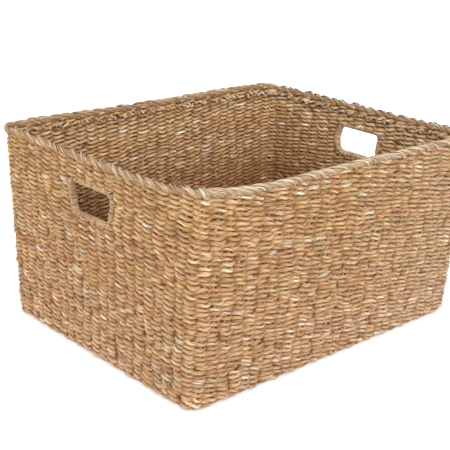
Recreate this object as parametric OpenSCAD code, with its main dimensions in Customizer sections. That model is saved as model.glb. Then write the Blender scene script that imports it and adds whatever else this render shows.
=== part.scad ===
// Rectangular woven seagrass storage basket with a hand hole in each short wall.
// Millimetres, +Z up. The origin is the middle of the basket's footprint, on the floor.
// X runs along the long sides and Y along the short ends.

/* [Overall size] */
// Length over the border
top_length = 544; // [440:4:640]
// Width over the border
top_width = 441; // [360:4:520]
// Length at the floor
bottom_length = 528; // [430:4:600]
// Width at the floor
bottom_width = 407; // [340:4:480]
// Outside corner radius at the border
top_corner_radius = 27; // [24:1:50]
// Outside corner radius at the floor
bottom_corner_radius = 25; // [20:1:30]

/* [Weave] */
// Number of weft courses between the floor and the border
course_count = 42; // [38:1:44]
// Height of one course
course_pitch = 6.5; // [5.5:0.5:7]
// Thickness of one weft strand across the wall
strand_thickness = 3.2; // [2.6:0.2:3.4]
// Room between the outer and inner strands, where the stakes stand
stake_slot = 4.6; // [4.4:0.2:5.2]
// Height of the groove between one course and the next
groove_height = 1.3; // [0.8:0.1:2]
// Depth of the groove between one course and the next
groove_depth = 0.9; // [0.4:0.1:1.4]

/* [Stakes] */
// Diameter of one stake
stake_diameter = 4; // [3:0.2:4]
// Stakes along each long side
side_stake_count = 25; // [21:2:25]
// Spacing of the stakes along a long side
side_stake_pitch = 19.2; // [16:0.2:19.6]
// Stakes along each short end
end_stake_count = 19; // [15:2:19]
// Spacing of the stakes along a short end
end_stake_pitch = 19; // [15:0.5:19.5]

/* [Hand holes] */
// First course that stops at the holes, counted from the floor
hole_first_course = 32; // [32:1:34]
// Number of courses that stop at the holes
hole_course_count = 7; // [5:1:7]
// Clear width of a hole
hole_width = 76; // [60:2:90]
// Thickness of the wrapped edge all round a hole
hole_edge = 3; // [2:0.5:4]

/* [Border] */
// Height of the rolled border
border_height = 12; // [11:0.5:20]
// Width of the rolled border
border_width = 14; // [13:0.5:17]

/* [Hidden] */
$fn = 48;

wall_height = course_count * course_pitch;
wall_thickness = 2 * strand_thickness + stake_slot;
wall_middle = wall_thickness / 2;
border_overhang = (border_width - wall_thickness) / 2;

// Offsets from the wall's outside face, going inwards
slot_outer = strand_thickness;
slot_inner = strand_thickness + stake_slot;

// Base layers, from the floor up
base_core_bottom = strand_thickness + 0.2;
base_core_middle = base_core_bottom + stake_slot / 2;
base_core_top = base_core_bottom + stake_slot;
base_top = base_core_top + strand_thickness;
base_row_pitch = 2 * course_pitch;
base_gap = 0.2;

// Rounded bottom edge: how far the two lowest courses are drawn in
edge_draw_in = [1.7, 0.5];

// The courses below, beside and above the hand holes
hole_last_course = hole_first_course + hole_course_count - 1;
hole_gap_bottom = (hole_first_course - 1) * course_pitch;
hole_gap_top = hole_last_course * course_pitch;
hole_bottom = hole_gap_bottom + hole_edge;
hole_top = hole_gap_top - hole_edge;
hole_half_width = hole_width / 2;
hole_gap_half = hole_half_width + hole_edge;
binding_cheek = 1.1;
binding_gap = 0.35;
binding_reach = course_pitch;
edge_gap = 0.15;

// Gap where two lengths of strand meet
joint_gap = 0.06;
joint_angle = 0.1;

stake_radius = stake_diameter / 2;
stake_start = base_core_bottom + 0.2;
foot_radius = stake_radius - 0.2;
end_stake_foot = 15;
corner_stake_angles = [27, 63];

// Border section, measured from the middle of the wall and from the border's underside
border_side_thickness = 4.5;
border_side_height = border_height * 0.62;
border_top_thickness = border_height - border_side_height - 0.3;
border_core_width = border_width - 2 * border_side_thickness - 0.4;
border_core_height = border_side_height - 0.6;

trimmed_end_diameter = 3.2;
trimmed_end_length = 8;
trimmed_end_inset = wall_middle + trimmed_end_diameter / 2 + 0.7;

weft_colour = [0.72, 0.55, 0.34];
inner_weft_colour = [0.66, 0.48, 0.29];
stake_colour = [0.60, 0.45, 0.27];
border_colour = [0.82, 0.70, 0.50];
binding_colour = [0.83, 0.72, 0.52];

// Half length, half width and corner radius of the wall's outside face at a height
function at_height(low, high, z) = low + (high - low) * z / wall_height;
function half_x(z) = at_height(bottom_length / 2, top_length / 2 - border_overhang, z);
function half_y(z) = at_height(bottom_width / 2, top_width / 2 - border_overhang, z);
function corner_r(z) = at_height(bottom_corner_radius, top_corner_radius - border_overhang, z);

// Positions in one line, spaced evenly about the middle
function spread(count, pitch) = [for (i = [0 : count - 1]) (i - (count - 1) / 2) * pitch];

// Half lengths of a wall's straight part, between the corners
function straight_x(z) = half_x(z) - corner_r(z);
function straight_y(z) = half_y(z) - corner_r(z);

// Every strand is pieced near the corners: where the lengths along the walls end
function joint_x() = min(straight_x(0), straight_x(wall_height)) - 1;
function joint_y() = min(straight_y(0), straight_y(wall_height)) - 1;

// Where a stake that starts at x or y in the base ends under the border
function fan_x(x) = x * straight_x(wall_height) / straight_x(0);
function fan_y(y) = y * straight_y(wall_height) / straight_y(0);

// Rounded rectangle about the origin
module rounded_rect(hx, hy, r) {
    square([2 * (hx - r), 2 * hy], center = true);
    square([2 * hx, 2 * (hy - r)], center = true);
    for (sx = [-1, 1])
        for (sy = [-1, 1])
            translate([sx * (hx - r), sy * (hy - r)])
                circle(r = r);
}

// Outline of the basket at a height, drawn in by an inset
module outline(z, inset) {
    rounded_rect(half_x(z) - inset, half_y(z) - inset, corner_r(z) - inset);
}

// A loop between two insets at a height
module loop_outline(z, outer_inset, inner_inset) {
    difference() {
        outline(z, outer_inset);
        outline(z, inner_inset);
    }
}

// Keeps the part of a loop in front of (-1) or behind (1) the hand holes
module beside_holes(side) {
    intersection() {
        children();
        translate([-top_length, side > 0 ? hole_gap_half : -hole_gap_half - top_width])
            square([2 * top_length, top_width]);
    }
}

// Parts a loop into lengths: one along each wall and two round each corner
module pieced() {
    jx = joint_x();
    jy = joint_y();
    difference() {
        children();
        for (sx = [-1, 1], sy = [-1, 1]) {
            translate([sx * (jx + joint_gap / 2), sy * top_width / 2])
                square([joint_gap, top_width], center = true);
            translate([sx * top_length / 2, sy * (jy + joint_gap / 2)])
                square([top_length, joint_gap], center = true);
            translate([sx * jx, sy * jy])
                rotate(sx * sy * 45)
                    square([4 * top_corner_radius, joint_gap], center = true);
        }
    }
}

// One layer of one course, with the shallow groove above it
module course(k, outer_inset, inner_inset, outer_groove, inner_groove, side) {
    z0 = (k - 1) * course_pitch;
    z = z0 + course_pitch / 2;
    draw_in = (outer_groove > 0 && k <= len(edge_draw_in)) ? edge_draw_in[k - 1] : 0;
    belly = course_pitch - groove_height;
    translate([0, 0, z0])
        linear_extrude(height = belly)
            course_outline(z, outer_inset + draw_in, inner_inset, side);
    translate([0, 0, z0 + belly])
        linear_extrude(height = groove_height)
            course_outline(z, outer_inset + draw_in + outer_groove, inner_inset - inner_groove, side);
}

module course_outline(z, outer_inset, inner_inset, side) {
    pieced()
        if (side == 0)
            loop_outline(z, outer_inset, inner_inset);
        else
            beside_holes(side)
                loop_outline(z, outer_inset, inner_inset);
}

// Outer strands of the courses from first to last
module outer_courses(first, last, side) {
    for (k = [first : last])
        course(k, 0, slot_outer, groove_depth, 0, side);
}

// Inner strands of the courses from first to last
module inner_courses(first, last, side) {
    for (k = [first : last])
        course(k, slot_inner, wall_thickness, 0, groove_depth, side);
}

// A straight round rod between two points
module rod(p, q, radius) {
    d = q - p;
    length = norm(d);
    translate(p)
        rotate([0, acos(d[2] / length), atan2(d[1], d[0])])
            cylinder(h = length, r = radius);
}

// Grooves between the rows of the base, cut into one of its faces
module base_grooves(z) {
    rows = floor(bottom_width / base_row_pitch / 2);
    for (i = [-rows : rows])
        translate([-bottom_length, (i + 0.5) * base_row_pitch - groove_height / 2, z])
            cube([2 * bottom_length, groove_height, groove_depth]);
}

module base_weft_under() {
    color(weft_colour)
        difference() {
            linear_extrude(height = strand_thickness)
                outline(0, slot_outer + base_gap);
            base_grooves(-0.3);
        }
}

module base_weft_upper() {
    color(inner_weft_colour)
        difference() {
            translate([0, 0, base_core_top])
                linear_extrude(height = strand_thickness)
                    outline(0, wall_thickness + base_gap);
            base_grooves(base_top - groove_depth);
        }
}

// One cord up the front wall, across the base and up the rear wall
module crosswise_stake(x) {
    foot_y = half_y(0) - wall_middle;
    head_y = half_y(wall_height) - wall_middle;
    rod([x, -foot_y, base_core_middle], [x, foot_y, base_core_middle], foot_radius);
    for (s = [-1, 1])
        rod([x, s * foot_y, stake_start], [fan_x(x), s * head_y, wall_height], stake_radius);
}

module crosswise_stakes() {
    color(stake_colour)
        for (x = spread(side_stake_count, side_stake_pitch))
            crosswise_stake(x);
}

// A point on the line of an end stake at a height
function end_point(s, y, z) = [s * (half_x(z) - wall_middle), y + (fan_y(y) - y) * z / wall_height, z];

// One cord with a foot in the base, up an end wall, cut short where it meets the hole
module end_stake(s, y) {
    corner = end_point(s, y, base_core_middle);
    meets_hole = abs(y) < hole_gap_half + stake_radius;
    rod(corner - [s * end_stake_foot, 0, 0], corner, foot_radius);
    rod(end_point(s, y, stake_start),
        end_point(s, y, meets_hole ? hole_gap_bottom : wall_height), stake_radius);
    if (meets_hole)
        rod(end_point(s, y, hole_gap_top), end_point(s, y, wall_height), stake_radius);
}

module end_stakes(s) {
    color(stake_colour)
        for (y = spread(end_stake_count, end_stake_pitch))
            end_stake(s, y);
}

module left_end_stakes() { end_stakes(-1); }
module right_end_stakes() { end_stakes(1); }

// A point on the line of a corner stake at a height
function corner_point(sx, sy, angle, z) =
    let (r = corner_r(z))
    [sx * (half_x(z) - r + (r - wall_middle) * cos(angle)),
     sy * (half_y(z) - r + (r - wall_middle) * sin(angle)), z];

module corner_stakes() {
    color(stake_colour)
        for (sx = [-1, 1])
            for (sy = [-1, 1])
                for (angle = corner_stake_angles)
                    rod(corner_point(sx, sy, angle, base_core_bottom),
                        corner_point(sx, sy, angle, wall_height), stake_radius);
}

module lower_weft_outer() {
    color(weft_colour) outer_courses(1, hole_first_course - 1, 0);
}
module lower_weft_inner() {
    color(inner_weft_colour) inner_courses(3, hole_first_course - 1, 0);
}
module front_hole_level_weft_outer() {
    color(weft_colour) outer_courses(hole_first_course, hole_last_course, -1);
}
module front_hole_level_weft_inner() {
    color(inner_weft_colour) inner_courses(hole_first_course, hole_last_course, -1);
}
module rear_hole_level_weft_outer() {
    color(weft_colour) outer_courses(hole_first_course, hole_last_course, 1);
}
module rear_hole_level_weft_inner() {
    color(inner_weft_colour) inner_courses(hole_first_course, hole_last_course, 1);
}
module upper_weft_outer() {
    color(weft_colour) outer_courses(hole_last_course + 1, course_count, 0);
}
module upper_weft_inner() {
    color(inner_weft_colour) inner_courses(hole_last_course + 1, course_count, 0);
}

// Carries a section, drawn as offset from the middle of the wall and height, round the top
module border_loop() {
    r = corner_r(wall_height) - wall_middle;
    mx = straight_x(wall_height);
    my = straight_y(wall_height);
    translate([0, 0, wall_height]) {
        for (s = [0, 180])
            rotate([0, 0, s]) {
                translate([mx + r, my - joint_gap, 0])
                    rotate([90, 0, 0])
                        linear_extrude(height = 2 * (my - joint_gap))
                            children();
                translate([-mx + joint_gap, my + r, 0])
                    rotate([90, 0, 90])
                        linear_extrude(height = 2 * (mx - joint_gap))
                            children();
                for (turn = [0, 45]) {
                    translate([mx, my, 0])
                        rotate([0, 0, turn])
                            rotate_extrude(angle = 45 - joint_angle)
                                translate([r, 0])
                                    children();
                    translate([-mx, my, 0])
                        rotate([0, 0, 90 + turn])
                            rotate_extrude(angle = 45 - joint_angle)
                                translate([r, 0])
                                    children();
                }
            }
    }
}

// Upright rounded bar section, standing on a height
module upright_section(offset_x, base, width, height) {
    translate([offset_x, base + width / 2])
        circle(d = width);
    translate([offset_x, base + height - width / 2])
        circle(d = width);
    translate([offset_x - width / 2, base + width / 2])
        square([width, height - width]);
}

module border_core() {
    color(stake_colour)
        border_loop()
            upright_section(0, 0.2, border_core_width, border_core_height);
}

module border_side(side) {
    color(border_colour)
        border_loop()
            upright_section(side * (border_width - border_side_thickness) / 2, 0.1,
                            border_side_thickness, border_side_height - 0.1);
}

module border_outer_strand() { border_side(1); }
module border_inner_strand() { border_side(-1); }

module border_top_strand() {
    half = (border_width - border_top_thickness) / 2 - 0.4;
    color(border_colour)
        border_loop() {
            translate([-half, border_height - border_top_thickness])
                square([2 * half, border_top_thickness]);
            for (s = [-1, 1])
                translate([s * half, border_height - border_top_thickness / 2])
                    circle(d = border_top_thickness);
        }
}

// One stub hanging on the inside face, just under the border
module trimmed_end(x, y) {
    translate([x, y, wall_height - trimmed_end_length])
        cylinder(h = trimmed_end_length, d = trimmed_end_diameter);
}

module trimmed_stake_ends() {
    inner_x = half_x(wall_height) - wall_middle - trimmed_end_inset;
    inner_y = half_y(wall_height) - wall_middle - trimmed_end_inset;
    color(border_colour)
        for (s = [-1, 1]) {
            for (x = spread(side_stake_count, side_stake_pitch))
                trimmed_end(fan_x(x), s * inner_y);
            for (y = spread(end_stake_count, end_stake_pitch))
                trimmed_end(s * inner_x, fan_y(y));
        }
}

// A wrapped bar along the top (side 1) or bottom (side -1) edge of a hole
module hole_binding(s, side) {
    edge = side > 0 ? hole_gap_top : hole_gap_bottom;
    outside = half_x(edge) + binding_gap + binding_cheek;
    inside = half_x(edge) - wall_thickness - binding_gap - binding_cheek;
    bar_z = side > 0 ? hole_top : hole_gap_bottom + edge_gap;
    cheek_z = side > 0 ? hole_top : hole_gap_bottom - binding_reach;
    color(binding_colour)
        scale_x(s) {
            translate([inside, -hole_gap_half + edge_gap, bar_z])
                cube([outside - inside, 2 * (hole_gap_half - edge_gap), hole_edge - edge_gap]);
            for (x = [inside, outside - binding_cheek])
                translate([x, -hole_gap_half + edge_gap, cheek_z])
                    cube([binding_cheek, 2 * (hole_gap_half - edge_gap), hole_edge + binding_reach]);
        }
}

// Puts a shape drawn for the right end at the left end when s is -1
module scale_x(s) {
    if (s > 0)
        children();
    else
        mirror([1, 0, 0])
            children();
}

// The turned-back edge beside a hole, in front (-1) or behind (1)
module hole_side_edge(s, side) {
    outside = half_x(hole_gap_top) + binding_gap;
    inside = half_x(hole_gap_bottom) - wall_thickness - binding_gap;
    r = (hole_edge - edge_gap) / 2;
    y = side * (hole_half_width + r);
    color(binding_colour)
        scale_x(s)
            translate([0, y, hole_bottom + edge_gap])
                linear_extrude(height = hole_top - hole_bottom - 2 * edge_gap) {
                    translate([inside + r, -r])
                        square([outside - inside - 2 * r, 2 * r]);
                    for (x = [inside + r, outside - r])
                        translate([x, 0])
                            circle(r = r);
                }
}

module left_hole_top_binding() { hole_binding(-1, 1); }
module left_hole_bottom_binding() { hole_binding(-1, -1); }
module left_hole_front_edge() { hole_side_edge(-1, -1); }
module left_hole_rear_edge() { hole_side_edge(-1, 1); }
module right_hole_top_binding() { hole_binding(1, 1); }
module right_hole_bottom_binding() { hole_binding(1, -1); }
module right_hole_front_edge() { hole_side_edge(1, -1); }
module right_hole_rear_edge() { hole_side_edge(1, 1); }

base_weft_under();
base_weft_upper();
crosswise_stakes();
left_end_stakes();
right_end_stakes();
corner_stakes();
lower_weft_outer();
lower_weft_inner();
front_hole_level_weft_outer();
front_hole_level_weft_inner();
rear_hole_level_weft_outer();
rear_hole_level_weft_inner();
upper_weft_outer();
upper_weft_inner();
border_core();
border_outer_strand();
border_inner_strand();
border_top_strand();
trimmed_stake_ends();
left_hole_top_binding();
left_hole_bottom_binding();
left_hole_front_edge();
left_hole_rear_edge();
right_hole_top_binding();
right_hole_bottom_binding();
right_hole_front_edge();
right_hole_rear_edge();
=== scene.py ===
"""Rectangular storage basket of seagrass, woven over one stake and under one, with a rolled border and two
bound hand holes. Every strand is a swept tube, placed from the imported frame."""
import math

import bpy
import numpy as np
from mathutils import Matrix, Vector


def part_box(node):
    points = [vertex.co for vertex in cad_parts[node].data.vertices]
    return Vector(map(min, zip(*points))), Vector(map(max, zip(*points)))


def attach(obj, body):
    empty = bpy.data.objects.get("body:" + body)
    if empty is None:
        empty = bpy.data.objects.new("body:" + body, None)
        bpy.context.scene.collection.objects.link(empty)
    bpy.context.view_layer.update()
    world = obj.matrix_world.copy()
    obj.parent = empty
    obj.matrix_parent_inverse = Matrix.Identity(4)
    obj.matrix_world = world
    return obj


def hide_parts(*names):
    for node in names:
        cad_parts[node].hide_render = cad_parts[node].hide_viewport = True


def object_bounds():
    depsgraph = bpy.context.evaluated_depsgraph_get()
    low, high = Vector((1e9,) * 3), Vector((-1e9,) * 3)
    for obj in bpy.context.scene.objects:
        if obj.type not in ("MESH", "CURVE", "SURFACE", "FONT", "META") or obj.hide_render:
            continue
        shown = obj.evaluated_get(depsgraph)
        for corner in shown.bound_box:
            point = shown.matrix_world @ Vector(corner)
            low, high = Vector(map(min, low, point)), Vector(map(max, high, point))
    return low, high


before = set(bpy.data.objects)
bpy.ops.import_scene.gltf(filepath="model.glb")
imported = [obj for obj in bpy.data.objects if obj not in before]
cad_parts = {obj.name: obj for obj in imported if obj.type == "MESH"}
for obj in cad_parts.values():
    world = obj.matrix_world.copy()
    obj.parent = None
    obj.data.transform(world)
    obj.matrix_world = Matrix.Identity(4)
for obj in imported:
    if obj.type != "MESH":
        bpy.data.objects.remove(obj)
CAD_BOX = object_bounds()

MM = 0.001


def draws(part):
    """Random numbers for one sub-part, the same on every run."""
    return np.random.default_rng([29, part])


# ---------------------------------------------------------------------------------------------- sizes

WALL_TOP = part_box("upper_weft_outer")[1][2]
HEIGHT = CAD_BOX[1][2]
BASE_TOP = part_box("base_weft_upper")[1][2]
BASE_MIDDLE = BASE_TOP / 2

STRAND = 3.2 * MM
WALL = 11 * MM
HALF_WALL = WALL / 2

# Half sizes of the outside of the wall, at the bottom and at the top of the weave
BOTTOM_HALF = np.array(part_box("base_weft_under")[1][:2]) + STRAND
TOP_HALF = np.array(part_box("upper_weft_outer")[1][:2])
BOTTOM_CORNER = 25 * MM
TOP_CORNER = 27 * MM

# Strands under the basket are pressed flat by its weight, this high above the floor
GROUND = 0.05 * MM

# The wall turns into the base round a small arc
FOOT_RADIUS = 6 * MM
FOOT_ARC = FOOT_RADIUS * math.pi / 2
FOOT_CENTRE = BASE_MIDDLE + FOOT_RADIUS

# Stakes are counted round the basket, anticlockwise from above, from the middle of the front wall
STAKES = 96
SIDE_HALF = 12.5
CORNER_TURN = 2.0
END_HALF = 9.5
RIGHT_MIDDLE = 24
LEFT_MIDDLE = 72
SIDE_STAKES = range(-12, 13)
END_AND_CORNER_STAKES = [*range(13, 36), *range(61, 84)]
DRAWN_CORNER = 82.5
STAKE_PITCH = 19.2 * MM

# Hand holes: clear height and half clear width, and the gap in the weave round them
HOLE_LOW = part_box("left_hole_bottom_binding")[1][2]
HOLE_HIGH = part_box("left_hole_top_binding")[0][2]
HOLE_HALF = -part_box("left_hole_front_edge")[1][1]
GAP_LOW = HOLE_LOW - 3 * MM
GAP_HIGH = HOLE_HIGH + 3 * MM
GAP_TURN = 2.2

# Rows of weft lie on top of each other; the last two stand inside the border
ROWS = 86
FIRST_ROW = 1.6 * MM
ROW_PITCH = 3.225 * MM
PROFILE_TOP = FOOT_ARC + WALL_TOP - FOOT_CENTRE

WEAVE_DEPTH = 3.2 * MM


# ---------------------------------------------------------------------------------------- wall surface


def rounded_outline(s, half_x, half_y, corner):
    """Points and outward directions on a rounded rectangle at stake counts s."""
    half_turn = STAKES / 2
    turned = np.floor((s + SIDE_HALF) / half_turn)
    q = s - turned * half_turn
    flip = np.where(turned % 2 == 0, 1.0, -1.0)
    long_x = half_x - corner
    long_y = half_y - corner
    first_end = SIDE_HALF + CORNER_TURN
    second = first_end + 2 * END_HALF
    a = np.clip((q - SIDE_HALF) / CORNER_TURN, 0, 1) * math.pi / 2
    b = np.clip((q - second) / CORNER_TURN, 0, 1) * math.pi / 2
    along_front = np.clip(q, -SIDE_HALF, SIDE_HALF) / SIDE_HALF * long_x
    along_end = np.clip((q - first_end) / END_HALF - 1, -1, 1) * long_y
    past = q > first_end
    nx = np.where(past, np.cos(b), np.sin(a))
    ny = np.where(past, np.sin(b), -np.cos(a))
    x = np.where(past, long_x, along_front) + corner * nx
    y = np.where(past, along_end, -long_y) + corner * ny
    return flip * x, flip * y, flip * nx, flip * ny


def slow_wave(s, z, part, size):
    """A smooth random wave round the basket, in metres, which changes slowly with height."""
    r = draws(part)
    total = 0 * s
    for turns in range(2, 12):
        phase = r.uniform(0, 2 * math.pi)
        lean = r.uniform(-9, 9)
        total = total + r.normal() / turns * np.cos(2 * math.pi * turns * s / STAKES + phase + lean * z)
    return size * total


def ripple(s, z, part, size):
    """A smooth random ripple, a few stakes long and a few rows high, with no unit but that of size."""
    r = draws(part)
    total = 0 * s
    for turns in r.integers(4, 44, 26):
        phase, lean = r.uniform(0, 2 * math.pi), r.uniform(-130, 130)
        total = total + np.cos(2 * math.pi * turns * s / STAKES + phase + lean * z)
    return size * total


def wall_point(s, t, out):
    """Points of the wall, and their outward directions.

    s counts stakes round the basket, t is the distance up the middle of the wall from the foot, and out is
    the distance outward from the middle of the wall."""
    s, t, out = np.broadcast_arrays(np.asarray(s, float), np.asarray(t, float), np.asarray(out, float))
    turn = np.clip(t / FOOT_RADIUS, 0, math.pi / 2)
    z = FOOT_CENTRE - FOOT_RADIUS * np.cos(turn) + np.maximum(t - FOOT_ARC, 0)
    up = np.clip(z / WALL_TOP, 0, 1.1)
    s = s + ripple(s, z, 3, 0.03)
    inset = HALF_WALL + FOOT_RADIUS * (1 - np.sin(turn))
    half_x = BOTTOM_HALF[0] + (TOP_HALF[0] - BOTTOM_HALF[0]) * up - inset
    half_y = BOTTOM_HALF[1] + (TOP_HALF[1] - BOTTOM_HALF[1]) * up - inset
    corner = BOTTOM_CORNER + (TOP_CORNER - BOTTOM_CORNER) * up - inset
    x, y, nx, ny = rounded_outline(s, half_x, half_y, corner)
    lean = out * np.sin(turn) + hand_made_bulge(s, up)
    point = np.stack([x + nx * lean, y + ny * lean, z - out * np.cos(turn) + hand_made_lift(s, up)], -1)
    normal = np.stack([nx * np.sin(turn), ny * np.sin(turn), -np.cos(turn)], -1)
    return point, normal


def hand_made_bulge(s, up):
    """How far the wall stands out of true at stake count s and height up, in metres."""
    swell = 1.6 * MM * np.sin(math.pi * np.clip(up, 0, 1)) * np.cos(2 * math.pi * s / (STAKES / 2))
    return np.clip(up, 0, 1) * slow_wave(s, up, 1, 1.0 * MM) + swell - 14 * MM * drawn_corner(s, up)


def hand_made_lift(s, up):
    """How far the wall stands above or below its true height, in metres."""
    return np.clip(up, 0, 1.1) ** 2 * slow_wave(s, 0, 2, 1.2 * MM) + 5 * MM * drawn_corner(s, up)


def drawn_corner(s, up):
    """From 0 to 1: how much the top of the front left corner is drawn in and up by its border."""
    return np.clip(up, 0, 1) ** 3 * np.exp(-(((s % STAKES) - DRAWN_CORNER) / 2.6) ** 2)


def at_height(z):
    """Distance up the wall's profile for a height above the foot's arc."""
    return FOOT_ARC + z - FOOT_CENTRE


# ------------------------------------------------------------------------------------------- strands


def unit(v):
    return v / np.maximum(np.linalg.norm(v, axis=-1, keepdims=True), 1e-9)


class Strands:
    """Collects swept strands for one mesh, with the colour of each and a place along its fibres."""

    def __init__(self, part, strip):
        self.random = draws(part)
        self.strip = strip
        self.points, self.tints, self.fibres = [], [], []
        self.quads, self.quad_uvs, self.caps = [], [], []
        self.count = 0
        self.strips = 0

    def add(self, points, outward, width, depth, tint, sides=10, closed=False, ply=0.07, twist=120.0,
            face=0.0, edge=0.5, gloom=0.7):
        """One strand along points: width across the wall's surface and depth outward are half sizes. Its two
        plies stand out by the part ply of its size and turn round it by twist radians a metre, and painted
        shade darkens the crease between them. Where face is 1 the strand is lighter toward outward and
        darker toward the other side, a painted shade as deep as its painted-shade part, and narrower toward
        outward, by the part edge; where it is -1 both go toward the other side."""
        n = len(points)
        ahead, behind = np.roll(points, -1, 0), np.roll(points, 1, 0)
        if not closed:
            ahead[-1], behind[0] = points[-1], points[0]
        forward = unit(ahead - behind)
        outward = np.broadcast_to(outward, (n, 3))
        outward = unit(outward - forward * (outward * forward).sum(1, keepdims=True))
        across = np.cross(forward, outward)
        along = np.concatenate([[0], np.cumsum(np.linalg.norm(np.diff(points, axis=0), axis=1))])
        roll = 2 * math.pi * self.random.random() + twist * along
        angle = np.arange(sides) * 2 * math.pi / sides
        plies = np.cos(angle[None] + roll[:, None] / 2)
        leaves = np.cos(5 * angle[None] + 1.6 * roll[:, None])
        ridge = 1 + 2 * ply * (np.abs(plies) - 0.64) + 0.4 * ply * leaves
        width = np.broadcast_to(width, n)[:, None] * ridge
        depth = np.broadcast_to(depth, n)[:, None] * ridge
        shown = np.broadcast_to(face, n)[:, None] * np.sin(angle)
        edge = np.broadcast_to(edge, n)[:, None]
        ring = (
            points[:, None]
            + across[:, None] * (width * (1 - edge * shown) * np.cos(angle))[..., None]
            + outward[:, None] * (depth * np.sin(angle))[..., None]
        )
        place = self.random.uniform(0, 50)
        swirl = angle[None] + roll[:, None] / 2
        length = np.broadcast_to(along[:, None] + place, (n, sides))
        fibre = np.stack([length, 3 * MM * np.cos(swirl), 3 * MM * np.sin(swirl)], -1)
        ring[..., 2] = np.maximum(ring[..., 2], GROUND)
        self.points.append(ring.reshape(-1, 3))
        self.fibres.append(fibre.reshape(-1, 3))
        # Painted shade in the crease between the two plies; the plies' own tones also differ a little.
        ply_crease_shade = (1 - np.abs(plies)) ** 3
        gloom = np.broadcast_to(gloom, n)[:, None]
        # Painted shade: the side away from outward is darkened by the part given where face is 1, and the
        # side toward outward where face is -1.
        shade = 1 + gloom * (shown - np.abs(shown).max(1, keepdims=True)) / 2
        shade = shade * (1 - 2.6 * ply * ply_crease_shade) * (1 + 0.5 * ply * plies + 0.3 * ply * leaves)
        self.tints.append(shaded_tint(np.broadcast_to(tint, (n, 3))[:, None], shade).reshape(-1, 3))
        self._faces(n, sides, closed)
        self.count += n * sides

    def _faces(self, n, sides, closed):
        steps = n if closed else n - 1
        i, j = np.meshgrid(np.arange(steps), np.arange(sides), indexing="ij")
        i2, j2 = (i + 1) % n, (j + 1) % sides
        corners = [(i, j), (i, j2), (i2, j2), (i2, j)]
        self.quads.append(np.stack([self.count + a * sides + b for a, b in corners], -1).reshape(-1, 4))
        strips = math.ceil(steps / self.strip)
        per_strip = math.ceil(steps / strips)
        cell = self.strips + i // per_strip
        u = (i % per_strip) / per_strip
        v = j / sides
        du, dv = 1 / per_strip, 1 / sides
        uv = np.stack([np.stack([u, v], -1), np.stack([u, v + dv], -1), np.stack([u + du, v + dv], -1),
                       np.stack([u + du, v], -1)], 2)
        uv = np.concatenate([uv, np.broadcast_to(cell[..., None, None], uv.shape[:3] + (1,))], -1)
        self.quad_uvs.append(uv.reshape(-1, 4, 3))
        if not closed:
            ring = self.count + np.arange(sides)
            self.caps.append((ring, self.strips, 0.0))
            self.caps.append((ring[::-1] + (n - 1) * sides, self.strips + strips - 1, 1.0))
        self.strips += strips

    def make(self, name, material, slot, nodes, columns=1):
        """Makes the mesh object, which rides on the body and replaces the named CAD nodes."""
        quads = np.concatenate(self.quads)
        uvs = np.concatenate(self.quad_uvs).reshape(-1, 3)
        corners = [quads.reshape(-1)]
        sizes = [np.full(len(quads), 4)]
        for ring, cell, u in self.caps:
            corners.append(ring)
            sizes.append([len(ring)])
            v = np.linspace(0, 1, len(ring))
            uvs = np.concatenate([uvs, np.stack([0 * v + u, v, 0 * v + cell], -1)])
        corners = np.concatenate(corners).astype(np.int32)
        sizes = np.concatenate(sizes).astype(np.int32)
        mesh = bpy.data.meshes.new(name)
        points = np.concatenate(self.points).astype(np.float32)
        mesh.vertices.add(len(points))
        mesh.vertices.foreach_set("co", points.reshape(-1))
        mesh.loops.add(len(corners))
        mesh.loops.foreach_set("vertex_index", corners)
        mesh.polygons.add(len(sizes))
        starts = np.concatenate([[0], np.cumsum(sizes)[:-1]])
        mesh.polygons.foreach_set("loop_start", starts.astype(np.int32))
        mesh.polygons.foreach_set("use_smooth", np.ones(len(sizes), bool))
        rows = math.ceil(self.strips / columns)
        cell = uvs[:, 2]
        margin = 0.04
        u = (cell % columns + 0.01 + 0.98 * uvs[:, 0]) / columns
        v = (cell // columns + margin + (1 - 2 * margin) * uvs[:, 1]) / rows
        layer = mesh.uv_layers.new(name="OFBake")
        layer.data.foreach_set("uv", np.stack([u, v], -1).astype(np.float32).reshape(-1))
        tint = mesh.attributes.new("tint", "FLOAT_COLOR", "POINT")
        tints = np.concatenate(self.tints)
        rgba = np.concatenate([tints, np.ones((len(tints), 1))], 1).astype(np.float32)
        tint.data.foreach_set("color", rgba.reshape(-1))
        fibre = mesh.attributes.new("fibre", "FLOAT_VECTOR", "POINT")
        fibre.data.foreach_set("vector", np.concatenate(self.fibres).astype(np.float32).reshape(-1))
        mesh.update()
        mesh.validate()
        mesh.materials.append(material)
        piece = bpy.data.objects.new(name, mesh)
        bpy.context.scene.collection.objects.link(piece)
        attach(piece, "root")
        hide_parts(*nodes)


# ------------------------------------------------------------------------------------------- colours


def linear(red, green, blue):
    """A screen colour from 0 to 255 as the renderer's linear colour."""
    c = np.array([red, green, blue]) / 255
    return np.where(c < 0.04045, c / 12.92, ((c + 0.055) / 1.055) ** 2.4)


STRAW = linear(188, 157, 121)
HONEY = linear(182, 149, 110)
CREAM = linear(202, 176, 146)
OLIVE = linear(177, 153, 117)
RUST = linear(182, 145, 114)
PALE = linear(206, 194, 171)
# Painted shade grows redder as it deepens, standing in for light bounced between the strands.
SHADE_REDDENING = np.array([0.7, 1.0, 1.32])
LEAF_SHARES = [(STRAW, 0.46), (HONEY, 0.24), (CREAM, 0.08), (OLIVE, 0.08), (RUST, 0.14)]


def leaf_tint(random):
    """The colour of one length of seagrass."""
    pick = random.choice(len(LEAF_SHARES), p=[share for _, share in LEAF_SHARES])
    return LEAF_SHARES[pick][0] * random.uniform(0.92, 1.08)


def shaded_tint(tint, part):
    """A tint darkened to a part of its brightness, redder as it darkens; it carries painted shade, and the
    plies' own small differences in tone.
    """
    return tint * np.asarray(part)[..., None] ** SHADE_REDDENING


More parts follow.
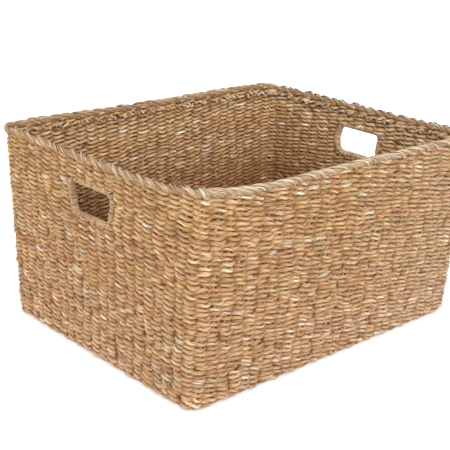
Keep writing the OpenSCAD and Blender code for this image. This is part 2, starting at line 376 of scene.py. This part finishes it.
def seagrass(name, streaks=0.5, roughness=0.62, bump=0.5):
    """Dried leaf twisted into cord: long fibres, darker veins, paler streaks and soft mottling."""
    material = bpy.data.materials.new(name)
    material.use_nodes = True
    nodes, links = material.node_tree.nodes, material.node_tree.links
    shader = nodes["Principled BSDF"]
    tint = nodes.new("ShaderNodeAttribute")
    tint.attribute_name = "tint"
    fibre = nodes.new("ShaderNodeAttribute")
    fibre.attribute_name = "fibre"

    def noise(detail, stretch):
        mapping = nodes.new("ShaderNodeMapping")
        mapping.inputs["Scale"].default_value = stretch
        links.new(fibre.outputs["Vector"], mapping.inputs["Vector"])
        texture = nodes.new("ShaderNodeTexNoise")
        texture.inputs["Scale"].default_value = 1.0
        texture.inputs["Detail"].default_value = detail
        links.new(mapping.outputs["Vector"], texture.inputs["Vector"])
        return texture.outputs["Fac"]

    def ramp(value, *stops):
        node = nodes.new("ShaderNodeValToRGB")
        node.color_ramp.elements[0].position = stops[0][0]
        node.color_ramp.elements[-1].position = stops[-1][0]
        for position, _ in stops[1:-1]:
            node.color_ramp.elements.new(position)
        for element, (position, grey) in zip(node.color_ramp.elements, stops):
            element.position = position
            element.color = (*np.broadcast_to(grey, 3), 1)
        links.new(value, node.inputs["Fac"])
        return node.outputs["Color"]

    def multiply(first, second, factor=1.0):
        node = nodes.new("ShaderNodeMix")
        node.data_type = "RGBA"
        node.blend_type = "MULTIPLY"
        node.inputs["Factor"].default_value = factor
        links.new(first, node.inputs["A"])
        links.new(second, node.inputs["B"])
        return node.outputs["Result"]

    def lighten(first, times, mask, amount):
        lighter = nodes.new("ShaderNodeVectorMath")
        lighter.operation = "MULTIPLY"
        links.new(first, lighter.inputs[0])
        lighter.inputs[1].default_value = times
        scaled = nodes.new("ShaderNodeMath")
        scaled.operation = "MULTIPLY"
        scaled.inputs[1].default_value = amount
        links.new(mask, scaled.inputs[0])
        node = nodes.new("ShaderNodeMix")
        node.data_type = "RGBA"
        links.new(scaled.outputs["Value"], node.inputs["Factor"])
        links.new(first, node.inputs["A"])
        links.new(lighter.outputs["Vector"], node.inputs["B"])
        return node.outputs["Result"]

    fibres = noise(4, (60, 1100, 1100))
    veins = noise(2, (34, 520, 520))
    bleached = noise(2, (48, 470, 470))
    mottle = noise(3, (85, 130, 130))
    fibre_shades = ramp(fibres, (0.3, 0.66), (0.5, 0.95), (0.7, 1.1))
    colour = multiply(tint.outputs["Color"], fibre_shades, streaks * 1.6)
    colour = multiply(colour, ramp(veins, (0.34, (0.6, 0.52, 0.45)), (0.48, 1.0), (1.0, 1.0)), 0.8)
    colour = lighten(colour, (1.8, 2.2, 2.9), ramp(bleached, (0.56, 0.0), (0.68, 1.0)), 0.55)
    patches = ramp(mottle, (0.32, (0.8, 0.75, 0.68)), (0.52, 1.0), (0.72, (1.1, 1.08, 1.05)))
    colour = multiply(colour, patches, 0.8)
    links.new(colour, shader.inputs["Base Color"])

    rough = nodes.new("ShaderNodeMapRange")
    rough.inputs["To Min"].default_value = roughness - 0.14
    rough.inputs["To Max"].default_value = roughness + 0.2
    links.new(fibres, rough.inputs["Value"])
    links.new(rough.outputs["Result"], shader.inputs["Roughness"])
    relief = nodes.new("ShaderNodeMath")
    relief.operation = "ADD"
    links.new(fibres, relief.inputs[0])
    links.new(veins, relief.inputs[1])
    bumps = nodes.new("ShaderNodeBump")
    bumps.inputs["Strength"].default_value = bump
    bumps.inputs["Distance"].default_value = 0.6 * MM
    links.new(relief.outputs["Value"], bumps.inputs["Height"])
    links.new(bumps.outputs["Normal"], shader.inputs["Normal"])
    shader.inputs["Specular IOR Level"].default_value = 0.08
    shader.inputs["Sheen Weight"].default_value = 0.02
    shader.inputs["Sheen Roughness"].default_value = 0.5
    return material


WEFT_LEAF = seagrass("weft_leaf")
BORDER_LEAF = seagrass("border_leaf", streaks=0.42, roughness=0.58, bump=0.6)
BINDING_LEAF = seagrass("binding_leaf", streaks=0.4, roughness=0.55, bump=0.5)
STAKE_LEAF = seagrass("stake_leaf", streaks=0.6, roughness=0.7, bump=0.6)


# ---------------------------------------------------------------------------------------- wall weave

STEPS = 8  # sections to each stake spacing


def eased(values, s):
    """Values given at whole stakes, carried smoothly round the basket to stake counts s."""
    low = np.floor(s).astype(int)
    f = s - low
    f = (f * f * (3 - 2 * f)).reshape(f.shape + (1,) * (values.ndim - 1))
    return values[low % STAKES] * (1 - f) + values[(low + 1) % STAKES] * f


def row_tints(random, row):
    """A colour for each stake of one row: a few lengths of leaf, and now and then one much paler stitch.

    Low rows are a little bluer and high rows yellower. The front wall is paler toward its right corner."""
    tints = np.zeros((STAKES, 3))
    stake = 0
    start = random.integers(STAKES)
    while stake < STAKES:
        length = random.integers(5, 22)
        tints[(start + np.arange(stake, min(stake + length, STAKES))) % STAKES] = leaf_tint(random)
        stake += length
    height = row / ROWS
    tints *= np.array([1.0, 1.0, 1.07]) * (1 - height) + np.array([1.0, 1.0, 0.9]) * height
    tints *= random.normal(1, 0.07, (STAKES, 1))
    toward_right_corner = np.exp(-(((np.arange(STAKES) - 12) / 7) ** 2))[:, None]
    tints += (0.92 * PALE - tints) * 0.22 * toward_right_corner
    pale = random.random(STAKES) < 0.03
    tints[pale] = PALE * random.uniform(0.85, 1.1)
    return tints


def weft_row(strands, row, s, closed):
    """One row of weft over one stake and under the next, at stake counts s. Painted shade darkens it where
    it dives between the stakes, and darkens its inside face toward the bottom of the basket, while painted
    light makes that face paler at the top."""
    random = strands.random
    over = (1 if row % 2 else -1) * np.cos(math.pi * (s + eased(random.normal(0, 0.12, STAKES), s)))
    flat = np.abs(over)
    plump = eased(np.maximum(random.normal(1, 0.16, STAKES), 0.84), s)
    level = FIRST_ROW + row * ROW_PITCH
    lift = eased(random.normal(0, 0.33 * MM, STAKES), s) + ripple(s, level, 4, 0.18 * MM)
    push = eased(random.normal(0, 0.5 * MM, STAKES), s)
    slant = -0.85 * MM * np.sin(2 * math.pi * s)
    out = WEAVE_DEPTH * np.sign(over) * flat**0.8 + push * over
    points, outward = wall_point(s, level + lift + slant, out)
    width = (3.15 - 0.6 * flat**2) * MM * (0.45 + 0.55 * plump)
    edge = np.interp(flat, [0.2, 0.5, 0.8, 1], [0.5, 0.55, 0.48, 0.38])
    depth = (2.4 - 0.2 * flat) * MM * (0.6 + 0.4 * plump)
    # Painted light and shade: the row is darker where it dives between the stakes, and its inside face is
    # darker toward the bottom of the basket and paler at the top.
    inside_painted_light = np.interp(level, [0.09, 0.15, 0.2, 0.25], [0.42, 0.65, 1.02, 1.2])
    shade = (0.47 + 0.53 * flat**0.9) * np.where(over < 0, inside_painted_light, 1)
    tint = shaded_tint(eased(row_tints(random, row), s), shade)
    if not closed:
        fade = np.clip(np.minimum(s - s[0], s[-1] - s) / 0.25, 0.12, 1)
        width, depth = width * fade, depth * fade
    twist = random.normal(280, 60)
    # Stitches on the inside get deeper painted shade on their far side than those on the outside.
    face = np.sign(over) * flat**0.4
    strands.add(points, outward, width, depth, tint, sides=12, closed=closed, ply=0.17, twist=twist,
                face=face, edge=edge, gloom=np.where(over < 0, 0.96, 0.86))


def full_rows(rows, name, nodes):
    strands = Strands(100 + rows[0], strip=STAKES * STEPS // 4)
    s = np.arange(STAKES * STEPS) / STEPS
    for row in rows:
        weft_row(strands, row, s, True)
    strands.make(name, WEFT_LEAF, "weft", nodes)


def hole_level_rows(rows, name, nodes):
    """Rows in front of and behind the hand holes, which turn back at the holes' edges."""
    strands = Strands(100 + rows[0], strip=STAKES * STEPS // 4)
    half = RIGHT_MIDDLE - GAP_TURN
    s = np.linspace(-half, half, int(2 * half * STEPS))
    for row in rows:
        weft_row(strands, row, s, False)
        weft_row(strands, row, s + STAKES / 2, False)
    strands.make(name, WEFT_LEAF, "weft", nodes)


def in_turn(rows, most):
    """The rows in groups of at most so many."""
    count = math.ceil(len(rows) / most)
    return [rows[len(rows) * i // count : len(rows) * (i + 1) // count] for i in range(count)]


def weave_walls():
    """Rows up to the hand holes, rows beside the holes, and rows above them, each in a few meshes."""
    below, beside, above = [], [], []
    for row in range(ROWS):
        t = FIRST_ROW + row * ROW_PITCH
        if t < at_height(GAP_LOW):
            below.append(row)
        elif t < at_height(GAP_HIGH):
            beside.append(row)
        else:
            above.append(row)
    for rows in in_turn(below, 10):
        full_rows(rows, f"lower_weft_{rows[0]:02d}", ("lower_weft_outer", "lower_weft_inner"))
    layers = [f"{end}_hole_level_weft_{face}" for end in ("front", "rear") for face in ("outer", "inner")]
    for rows in in_turn(beside, 10):
        hole_level_rows(rows, f"hole_level_weft_{rows[0]:02d}", layers)
    full_rows(above, "upper_weft", ("upper_weft_outer", "upper_weft_inner"))


# -------------------------------------------------------------------------------------------- stakes


def lay_stakes():
    """Upright cords inside the weave. Those of the long walls run on through the base from front to rear."""
    radius = 2.4 * MM
    tops = PROFILE_TOP + 2 * MM
    rise = np.concatenate([np.linspace(0, FOOT_ARC, 5)[:-1], np.linspace(FOOT_ARC, tops, 60)])
    hole_from, hole_to = at_height(HOLE_LOW) - 4 * MM, at_height(HOLE_HIGH) + 4 * MM
    groups = {
        "crosswise_stake_cords": ([], ("crosswise_stakes",)),
        "end_stake_cords": ([], ("left_end_stakes", "right_end_stakes", "corner_stakes")),
    }
    for s in SIDE_STAKES:
        front, _ = wall_point(s, rise, 0)
        rear, _ = wall_point(STAKES / 2 - s, rise, 0)
        across = np.linspace(0, 1, 24)[1:-1, None]
        groups["crosswise_stake_cords"][0].append(
            np.concatenate([front[::-1], front[0] + (rear[0] - front[0]) * across, rear])
        )
    for s in END_AND_CORNER_STAKES:
        line, normal = wall_point(s, rise, 0)
        inward = -np.array([normal[-1, 0], normal[-1, 1], 0])
        foot = line[0] + inward * np.linspace(16 * MM, 1 * MM, 4)[:, None]
        from_middle = min(abs(s - RIGHT_MIDDLE), abs(s - LEFT_MIDDLE))
        if from_middle < GAP_TURN:
            low, _ = wall_point(s, rise[rise < hole_from], 0)
            high, _ = wall_point(s, np.linspace(hole_to, tops, 6), 0)
            groups["end_stake_cords"][0].extend([np.concatenate([foot, low]), high])
        else:
            groups["end_stake_cords"][0].append(np.concatenate([foot, line]))
    for number, (name, (lines, nodes)) in enumerate(groups.items()):
        strands = Strands(300 + number, strip=200)
        for points in lines:
            outward = np.array([0.31, 0.28, 0.91])
            tint = leaf_tint(strands.random) * 0.8
            strands.add(points, outward, radius, radius, tint, sides=6)
        strands.make(name, STAKE_LEAF, "stakes", nodes, columns=2)


# ---------------------------------------------------------------------------------------------- base


def weave_base():
    """Rows along the length, over and under the crosswise cords, inside the foot of the wall."""
    margin = HALF_WALL + FOOT_RADIUS
    half_x, half_y = BOTTOM_HALF - margin
    corner = BOTTOM_CORNER - margin
    rows = int(2 * (half_y - 1.5 * MM) / ROW_PITCH)
    depth = BASE_MIDDLE - 1.85 * MM
    for part, (name, chosen) in enumerate(
        {"base_weft_front": range(0, rows // 2), "base_weft_rear": range(rows // 2, rows)}.items()
    ):
        strands = Strands(400 + part, strip=160)
        random = strands.random
        for row in chosen:
            y = (row - (rows - 1) / 2) * ROW_PITCH
            into_corner = max(abs(y) - (half_y - corner), 0)
            reach = half_x - corner + math.sqrt(max(corner**2 - into_corner**2, 0)) - 1 * MM
            x = np.linspace(-reach, reach, 160)
            over = (1 if row % 2 else -1) * np.cos(math.pi * x / STAKE_PITCH)
            flat = np.abs(over) ** 0.8
            ends = np.clip((reach - np.abs(x)) / (3 * MM), 0.15, 1)
            wander = np.interp(x, np.linspace(-reach, reach, 30), random.normal(0, 0.3 * MM, 30))
            z = BASE_MIDDLE + depth * over * ends
            points = np.stack([x, y + wander, z], -1)
            knots = np.linspace(-reach, reach, 28)
            tints = np.array([leaf_tint(random)] * 28) * random.uniform(0.85, 1.12, (28, 1))
            tint = np.stack([np.interp(x, knots, tints[:, c]) for c in range(3)], -1)
            # Painted shade: the row is darker where it dives between the cords.
            tint = tint * (0.7 + 0.3 * np.abs(over))[:, None]
            width, thickness = (1.7 + 1.5 * flat) * MM * ends, 1.8 * MM * ends
            strands.add(points, np.array([0, 0, 1.0]), width, thickness, tint, sides=8)
        strands.make(name, WEFT_LEAF, "weft", ("base_weft_under", "base_weft_upper"))


# -------------------------------------------------------------------------------------------- border

BORDER_MIDDLE = (WALL_TOP + HEIGHT) / 2
BORDER_HALF_HEIGHT = (HEIGHT - WALL_TOP) / 2
BORDER_HALF_WIDTH = HALF_WALL + 1.5 * MM
CORD = 1.0 * MM


def border_section(angle, reach):
    """Height along the wall and distance outward on the border's rounded section; angle 0 is outward."""
    power = 0.8
    c, v = np.cos(angle), np.sin(angle)
    out = (BORDER_HALF_WIDTH - CORD) * np.sign(c) * np.abs(c) ** power * reach
    up = (BORDER_HALF_HEIGHT - CORD) * np.sign(v) * np.abs(v) ** power * reach
    return at_height(BORDER_MIDDLE) + up, out


def border_tint(random, s):
    """The bundles are bleached along the front, less on the right and least at the rear."""
    counts = [0, 14, 30, 40, 60, 72, 82, 86, STAKES]
    bleach = np.interp(s % STAKES, counts, [0.8, 0.8, 0.5, 0.15, 0.15, 0.2, 0.35, 0.8, 0.8])
    bleach = np.clip(bleach + random.normal(0, 0.15), 0, 1)
    return PALE * bleach + leaf_tint(random) * (1 - bleach)


def roll_border():
    """Each stake's leaves start inside under the border, roll over it and run down the outside for about two
    stakes, where they are tucked in. Each bundle lies over the tail of the one before it."""
    steps = 40
    tau = np.linspace(0, 1, steps)
    angle = np.radians(np.interp(tau, [0, 0.25, 0.5, 0.66, 1], [208, 135, 85, 48, -68]))
    advance = np.interp(tau, [0, 0.25, 0.5, 0.66, 1], [0, 0.35, 0.95, 1.4, 2.15])
    smooth = np.convolve(np.pad(advance, 3, mode="edge"), np.ones(7) / 7, mode="valid")
    reach = np.interp(tau, [0, 0.1, 0.3, 0.5, 0.65, 0.85, 1], [0.7, 0.8, 0.9, 1.13, 1.12, 0.92, 0.7])
    taper = np.interp(tau, [0, 0.06, 0.7, 1], [0.5, 1, 1, 0.4])
    narrowing = np.interp(tau, [0, 0.5, 1], [1, 1, 0.45])
    # Painted light and shade along each bundle: darker where it starts inside and where it tucks in, full
    # bright over the top of the border.
    painted_light_along_bundle = np.interp(tau, [0, 0.3, 0.45, 0.7, 1], [0.66, 0.8, 1.0, 1.0, 0.8])
    bare = np.interp(tau, [0, 0.3, 0.42, 0.7, 1], [0, 0.4, 1, 0.9, 0.3])[:, None]
    lanes = np.linspace(-1, 1, 6)
    nodes = ("border_outer_strand", "border_inner_strand", "border_top_strand")
    for half, side in enumerate(("front", "rear")):
        strands = Strands(500 + half, strip=steps)
        random = strands.random
        for loop in range(half * STAKES // 2, (half + 1) * STAKES // 2):
            bundle = border_tint(random, loop + 2)
            longer = random.normal(1, 0.09)
            start = loop + random.normal(0, 0.09)
            spread = random.uniform(0.27, 0.37)
            proud = random.normal(1.0, 0.07)
            for lane in lanes:
                fan = narrowing + 0.15 * np.sin(2.5 * tau + random.uniform(0, 6))
                s = start + smooth * longer + lane * spread * fan
                crown = 1.1 - 0.5 * lane**2 + 0.05 * random.normal()
                bend = angle + 0.1 * random.normal()
                t, out = border_section(bend, reach * crown * proud)
                t = t - random.uniform(0, 5) * MM * np.interp(tau, [0.8, 1], [0, 1]) ** 1.5
                points, normal = wall_point(s, t, out)
                centre, _ = wall_point(s, at_height(BORDER_MIDDLE), 0)
                shade = painted_light_along_bundle * random.uniform(0.78, 1.15)
                size = CORD * random.uniform(0.85, 1.2) * taper
                tint = (bundle * bare + HONEY * (1 - bare)) * shade[:, None]
                # Painted shade: face=1 darkens each cord on its side toward the middle of the border.
                strands.add(points, unit(points - centre), size * 1.15, size * 0.85, tint, sides=8, ply=0.12,
                            face=1, edge=0.15, gloom=0.9)
        strands.make(f"border_loops_{side}", BORDER_LEAF, "border", nodes, columns=4)
    core = Strands(510, strip=STAKES)
    s = np.arange(0, STAKES, 0.25)
    for turn in np.radians(np.arange(0, 360, 60)):
        t = at_height(BORDER_MIDDLE) + 2.2 * MM * np.sin(turn)
        points, normal = wall_point(s, t, 2.6 * MM * np.cos(turn))
        core.add(points, normal, 2.0 * MM, 2.0 * MM, leaf_tint(core.random) * 0.7, sides=8, closed=True)
    core.make("border_core_cords", STAKE_LEAF, "border", ("border_core",))


# --------------------------------------------------------------------------------------- trimmed ends


def trim_ends():
    """Cut ends of the rolled-down stakes, curling out of the inside just under the border."""
    strands = Strands(600, strip=12)
    random = strands.random
    tau = np.linspace(0, 1, 9)
    for stake in range(STAKES):
        for end in range(3):
            s = stake + end / 3 + random.normal(0, 0.12)
            length = random.uniform(5, 10) * MM
            way = random.uniform(-0.5, 1.1)
            along = s + way * tau * length / STAKE_PITCH
            drop = random.uniform(-1.5, 2.5) * MM + random.uniform(0.5, 4.5) * MM * tau
            proud = random.uniform(3.4, 6.2) * MM
            out = -HALF_WALL + 1.4 * MM - proud * np.sin(tau * random.uniform(1.2, 2.4))
            points, normal = wall_point(along, at_height(WALL_TOP) - drop, out)
            size = random.uniform(1.5, 2.3) * MM
            tint = (CREAM if random.random() < 0.5 else leaf_tint(random)) * random.uniform(0.55, 1.1)
            # Painted shade: face=-1 darkens each end on its side toward the wall.
            strands.add(points, normal, size, size * 0.7, tint, sides=8, face=-1, edge=0.2)
    strands.make("trimmed_ends", BORDER_LEAF, "trimmed_ends", ("trimmed_stake_ends",), columns=4)


# ------------------------------------------------------------------------------------- loose fibres


LOOSE_FIBRES = 1500


def fray():
    """Fine pale fibres that have come loose from the leaf, lying along the rows inside and outside."""
    strands = Strands(650, strip=6)
    random = strands.random
    tau = np.linspace(0, 1, 6)
    for _ in range(LOOSE_FIBRES):
        face = random.choice([-1, 1])
        s = random.uniform(0, STAKES)
        z = random.uniform(0.03, 0.99) * WALL_TOP
        at_hole = min(abs(s - LEFT_MIDDLE), abs(s - RIGHT_MIDDLE)) < GAP_TURN + 1
        if at_hole and GAP_LOW - 8 * MM < z < GAP_HIGH + 8 * MM:
            continue
        length = random.uniform(5, 15) * MM
        rise = random.normal(-0.25, 0.3) * length
        bend = random.normal(0, 1.2) * MM
        proud = random.uniform(0.2, 1.6) * MM
        out = face * (HALF_WALL - 0.9 * MM + proud * np.sin(math.pi * tau * random.uniform(0.5, 1)))
        along = s + tau * length / STAKE_PITCH
        t = at_height(z) + rise * tau + bend * np.sin(math.pi * tau)
        points, normal = wall_point(along, np.minimum(t, PROFILE_TOP), out)
        size = random.uniform(0.25, 0.5) * MM * np.sin(math.pi * (0.12 + 0.8 * tau))
        strands.add(points, normal, size, size * 0.7, CREAM * random.uniform(0.8, 1.4), sides=4)
    strands.make("loose_fibres", BORDER_LEAF, "weft", ("lower_weft_outer", "lower_weft_inner"), columns=8)


# --------------------------------------------------------------------------------------- hand holes

BAND = 5.7 * MM
WRAP_PITCH = 1.8 * MM
OPENING_CORNER = 6 * MM


def opening_edge(place):
    """A point on the rounded edge of a hand hole, the way out from the hole there, and the edge it is on.

    place is the distance round the edge, measured along the middle of the binding."""
    half_y, half_z = HOLE_HALF, (HOLE_HIGH - HOLE_LOW) / 2
    flat_y, flat_z = half_y - OPENING_CORNER, half_z - OPENING_CORNER
    bend = (OPENING_CORNER + BAND / 2) * math.pi / 2
    sides = [(flat_z, 0, "rear_edge"), (flat_y, 90, "top_binding"), (flat_z, 180, "front_edge"),
             (flat_y, 270, "bottom_binding")]
    for flat, facing, edge in sides:
        a = math.radians(facing)
        out = np.array([math.cos(a), math.sin(a)])
        side = np.array([-out[1], out[0]])
        reach = half_y if facing % 180 == 0 else half_z
        if place < 2 * flat:
            return out * reach + side * (place - flat), out, edge
        place -= 2 * flat
        if place < bend:
            turn = a + place / bend * math.pi / 2
            way = np.array([math.cos(turn), math.sin(turn)])
            return out * (reach - OPENING_CORNER) + side * flat + way * OPENING_CORNER, way, edge
        place -= bend
    return opening_edge(place)


def bind_hole(name, middle, part):
    """Wraps of thin leaf, side by side all round the edge of one hand hole."""
    half_y, half_z = HOLE_HALF, (HOLE_HIGH - HOLE_LOW) / 2
    length = 4 * (half_y + half_z - 2 * OPENING_CORNER) + 2 * math.pi * (OPENING_CORNER + BAND / 2)
    angle = np.linspace(0, 2 * math.pi, 26, endpoint=False)
    outward = 1 if middle < STAKES / 2 else -1
    bound = {}
    random = draws(part)
    count = int(length / WRAP_PITCH)
    for wrap in range(count):
        point, way, edge = opening_edge((wrap + random.normal(0, 0.12)) * length / count)
        strands = bound.setdefault(edge, Strands(part + 1 + len(bound), strip=26))
        band = BAND * random.uniform(0.7, 1.3) / 2
        c, v = np.cos(angle), np.sin(angle)
        cord = 1.0 * MM * random.uniform(0.75, 1.25)
        across = band + cord + band * np.sign(c) * np.abs(c) ** 0.6
        out = (HALF_WALL - 0.5 * MM) * random.uniform(0.86, 1.1) * np.sign(v) * np.abs(v) ** 0.6
        lean = random.normal(0, 0.25 * MM) + 0.7 * MM * c
        tangent = np.array([-way[1], way[0]])
        y = point[0] + way[0] * across + tangent[0] * lean
        z = point[1] + way[1] * across + tangent[1] * lean
        s = middle + outward * y / STAKE_PITCH
        t = at_height((HOLE_LOW + HOLE_HIGH) / 2) + z
        points, normal = wall_point(s, t, out)
        centre = points.mean(0)
        bleach = random.uniform(0, 0.2)
        tint = (PALE * bleach + leaf_tint(random) * (1 - bleach)) * random.uniform(0.6, 1.1)
        # Painted shade: face=1 darkens each wrap on its side toward the wrap's middle, where it lies on the
        # edge it binds.
        strands.add(points, unit(points - centre), cord * 1.1, cord * 0.8, tint, sides=8, closed=True,
                    face=1, edge=0.2, gloom=1.0)
    for edge, strands in bound.items():
        node = f"{name}_hole_{edge}"
        strands.make(f"{node}_wraps", BINDING_LEAF, "hole_binding", (node,), columns=2)


# --------------------------------------------------------------------------------- floor, light, camera


def lay_floor():
    mesh = bpy.data.meshes.new("floor")
    reach = 40
    corners = [(-reach, -reach, 0), (reach, -reach, 0), (reach, reach, 0), (-reach, reach, 0)]
    mesh.from_pydata(corners, [], [(0, 1, 2, 3)])
    floor = bpy.data.objects.new("floor", mesh)
    bpy.context.scene.collection.objects.link(floor)
    material = bpy.data.materials.new("floor_paper")
    material.use_nodes = True
    shader = material.node_tree.nodes["Principled BSDF"]
    shader.inputs["Base Color"].default_value = (0.93, 0.93, 0.93, 1)
    shader.inputs["Roughness"].default_value = 0.9
    shader.inputs["Specular IOR Level"].default_value = 0.1
    mesh.materials.append(material)


def aim(thing, target, roll=0.0):
    """Turns a camera or light at place to look at target, tipped by roll degrees."""
    gaze = Vector(target) - thing.location
    turn = gaze.to_track_quat("-Z", "Y").to_matrix()
    thing.rotation_euler = (turn @ Matrix.Rotation(math.radians(roll), 3, "Z")).to_euler()


def set_light():
    world = bpy.data.worlds.new("studio")
    world.use_nodes = True
    background = world.node_tree.nodes["Background"]
    background.inputs["Color"].default_value = (1, 1, 1, 1)
    background.inputs["Strength"].default_value = 0.8
    bpy.context.scene.world = world
    light = bpy.data.lights.new("key", "SUN")
    light.angle = math.radians(38)
    light.energy = 3.7
    lamp = bpy.data.objects.new("key", light)
    lamp.location = (-1.3, -1.6, 1.3)
    aim(lamp, (0, 0, 0))
    bpy.context.scene.collection.objects.link(lamp)


def set_camera():
    azimuth, elevation = math.radians(-42.9), math.radians(19.34)
    distance = 5.232 * HEIGHT
    target = np.array([-0.065, 0.037, 0.485]) * HEIGHT
    away = np.array([math.sin(azimuth) * math.cos(elevation), -math.cos(azimuth) * math.cos(elevation),
                     math.sin(elevation)])
    data = bpy.data.cameras.new("camera")
    data.sensor_width = 36
    data.lens = 80.5
    camera = bpy.data.objects.new("camera", data)
    camera.location = target + distance * away
    aim(camera, target, roll=2.07)
    bpy.context.scene.collection.objects.link(camera)
    bpy.context.scene.camera = camera


set_camera()
set_light()
lay_floor()
weave_walls()
lay_stakes()
weave_base()
roll_border()
trim_ends()
fray()
bind_hole("left", LEFT_MIDDLE, 700)
bind_hole("right", RIGHT_MIDDLE, 720)
bpy.context.scene.view_settings.view_transform = "Standard"
